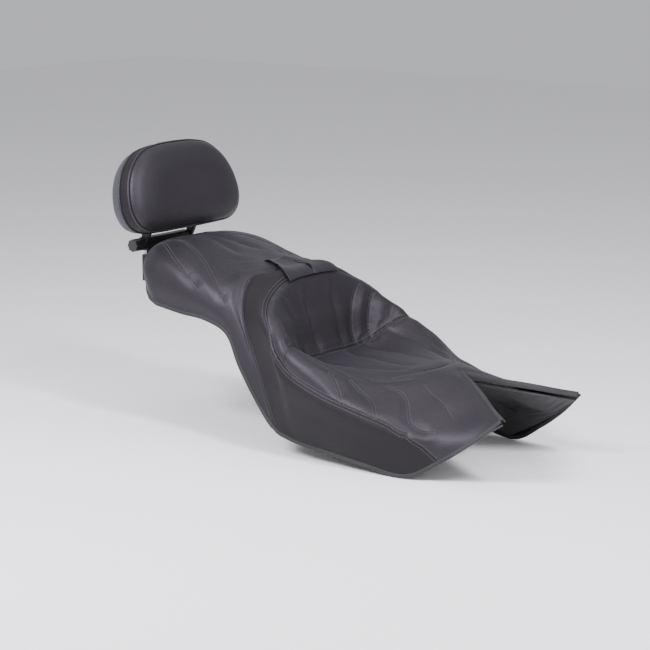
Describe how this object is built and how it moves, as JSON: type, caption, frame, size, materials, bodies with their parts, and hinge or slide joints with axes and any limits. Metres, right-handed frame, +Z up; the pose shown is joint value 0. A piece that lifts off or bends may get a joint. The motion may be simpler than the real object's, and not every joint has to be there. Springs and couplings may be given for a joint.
{
  "type": "motorcycle seat",
  "caption": "Two-up touring motorcycle saddle with a dished rider bucket, raised passenger seat, slot flap and a plug-in passenger backrest that tilts.",
  "frame": {"origin": "middle of the lower face of the centre rest pad, under the rider", "axes": "+X to the front of the motorcycle, +Y to its left, +Z up"},
  "size_m": [0.8688, 0.3868, 0.5033],
  "materials": {
    "seat_leather": "satin leather with a fine grain, charcoal with a slight violet cast",
    "skirt_leather": "smooth darker leather",
    "pouch_vinyl": "grained grey-black vinyl cloth",
    "piping": "tight leather-covered cord",
    "foam": "open cell foam",
    "pan_plastic": "moulded black, lightly textured",
    "trim_rubber": "matt black",
    "black_steel": "black powder coat",
    "zinc_steel": "zinc plated",
    "knob_plastic": "moulded black"
  },
  "bodies": {
    "saddle": {"backrest_socket_left": "black_steel", "backrest_socket_right": "black_steel", "bracket_bolt_1": "zinc_steel", "bracket_bolt_2": "zinc_steel", "bracket_bolt_3": "zinc_steel", "bracket_bolt_4": "zinc_steel", "bucket_back_panel": "seat_leather", "bucket_welt_left": "piping", "bucket_welt_right": "piping", "front_tongue": "black_steel", "hem_trim": "trim_rubber", "latch_bolt_1": "zinc_steel", "latch_bolt_2": "zinc_steel", "latch_plate": "black_steel", "latch_striker": "zinc_steel", "left_side_panel": "skirt_leather", "nose_binding": "piping", "nose_panel": "seat_leather", "passenger_cover": "seat_leather", "passenger_foam": "foam", "rear_bracket": "black_steel", "rest_pad_centre": "trim_rubber", "rest_pad_front_left": "trim_rubber", "rest_pad_front_right": "trim_rubber", "rest_pad_mid_left": "trim_rubber", "rest_pad_mid_right": "trim_rubber", "rest_pad_rear_left": "trim_rubber", "rest_pad_rear_right": "trim_rubber", "rider_foam": "foam", "rider_seat_panel": "seat_leather", "right_side_panel": "skirt_leather", "seat_pan": "pan_plastic", "slot_receiver": "black_steel", "slot_surround_panel": "skirt_leather", "tongue_bolt_1": "zinc_steel", "tongue_bolt_2": "zinc_steel"},
    "flap": {"slot_flap": "seat_leather"},
    "backrest_mount": {"backrest_blade_left": "zinc_steel", "backrest_blade_right": "zinc_steel", "hinge_bar": "black_steel", "hinge_pin": "zinc_steel"},
    "backrest": {"tilt_bracket": "black_steel", "backrest_board": "pan_plastic", "backrest_foam": "foam", "backrest_face": "seat_leather", "backrest_band": "skirt_leather", "backrest_rear_cover": "pouch_vinyl", "backrest_welt_front": "piping", "backrest_welt_rear": "piping"},
    "knob": {"tilt_knob": "knob_plastic"}
  },
  "joints": [
    {"name": "flap_lift", "type": "hinge", "parent": "saddle", "child": "flap", "pos_m": [-0.2125, 0, 0.212], "axis": [0, -1, 0], "range_deg": [0, 75]},
    {"name": "backrest_lift", "type": "slide", "parent": "saddle", "child": "backrest_mount", "axis": [0, 0, 1], "range_m": [0, 0.09]},
    {"name": "backrest_tilt", "type": "hinge", "parent": "backrest_mount", "child": "backrest", "pos_m": [-0.481, 0, 0.226], "axis": [0, 1, 0], "range_deg": [-20, 8]},
    {"name": "knob_turn", "type": "hinge", "parent": "backrest_mount", "child": "knob", "pos_m": [-0.481, -0.078, 0.226], "axis": [0, 1, 0], "continuous": true}
  ]
}
